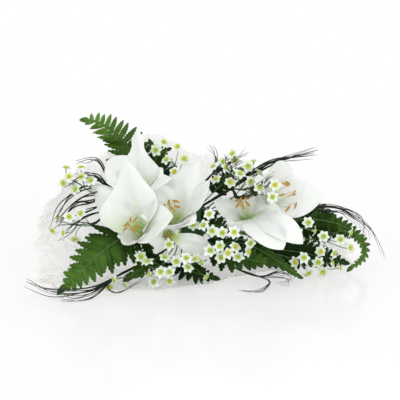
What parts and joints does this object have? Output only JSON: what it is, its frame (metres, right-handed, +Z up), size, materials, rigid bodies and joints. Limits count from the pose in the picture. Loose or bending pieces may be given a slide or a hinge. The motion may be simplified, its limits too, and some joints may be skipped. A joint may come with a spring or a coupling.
{
  "type": "bridal bouquet",
  "caption": "Trailing bridal bouquet of white lilies, star-flower sprays, fern and bear grass in a ribboned holder, lying on a fibre collar.",
  "frame": {"origin": "on the table, under the centre of the bouquet's bounding box", "axes": "+X towards the trailing end of the bouquet, -Y the side the flowers face, +Y the holder's handle, +Z up"},
  "size_m": [0.5157, 0.2906, 0.231],
  "materials": {
    "holder": "moulded green plastic, satin gloss",
    "ribbon": "ivory satin ribbon",
    "foam": "wet green floral foam, dull and open-celled",
    "fibre": "thin white plant-fibre sheet, translucent",
    "stem": "fresh green lily stem, satin",
    "tepal": "white lily tepal, green towards the throat, satin",
    "stamen": "green-white filament with an orange-brown anther",
    "fern": "glossy dark green leatherleaf fern",
    "star": "small white star flower with a yellow-green eye on a green stalk",
    "grass": "very dark green bear grass, satin"
  },
  "bodies": {
    "root": {"holder_handle": "holder", "handle_ribbon": "ribbon", "floral_foam": "foam", "fibre_collar": "fibre", "lily_1_stem": "stem", "lily_1_tepals": "tepal", "lily_1_stamens": "stamen", "lily_2_stem": "stem", "lily_2_tepals": "tepal", "lily_2_stamens": "stamen", "lily_3_stem": "stem", "lily_3_tepals": "tepal", "lily_3_stamens": "stamen", "lily_4_stem": "stem", "lily_4_tepals": "tepal", "lily_4_stamens": "stamen", "lily_5_stem": "stem", "lily_5_tepals": "tepal", "lily_5_stamens": "stamen", "lily_6_stem": "stem", "lily_6_tepals": "tepal", "lily_6_stamens": "stamen", "fern_frond_1": "fern", "fern_frond_2": "fern", "fern_frond_3": "fern", "fern_frond_4": "fern", "fern_frond_5": "fern", "fern_frond_6": "fern", "fern_frond_7": "fern", "fern_frond_8": "fern", "fern_frond_9": "fern", "fern_frond_10": "fern", "fern_frond_11": "fern", "fern_frond_12": "fern", "fern_frond_13": "fern", "fern_frond_14": "fern", "star_spray_1": "star", "star_spray_2": "star", "star_spray_3": "star", "star_spray_4": "star", "star_spray_5": "star", "star_spray_6": "star", "star_spray_7": "star", "star_spray_8": "star", "star_spray_9": "star", "star_spray_10": "star", "star_spray_11": "star", "star_spray_12": "star", "star_spray_13": "star", "grass_bundle_1": "grass", "grass_bundle_2": "grass", "grass_bundle_3": "grass", "grass_bundle_4": "grass", "grass_bundle_5": "grass", "grass_bundle_6": "grass"}
  },
  "joints": []
}
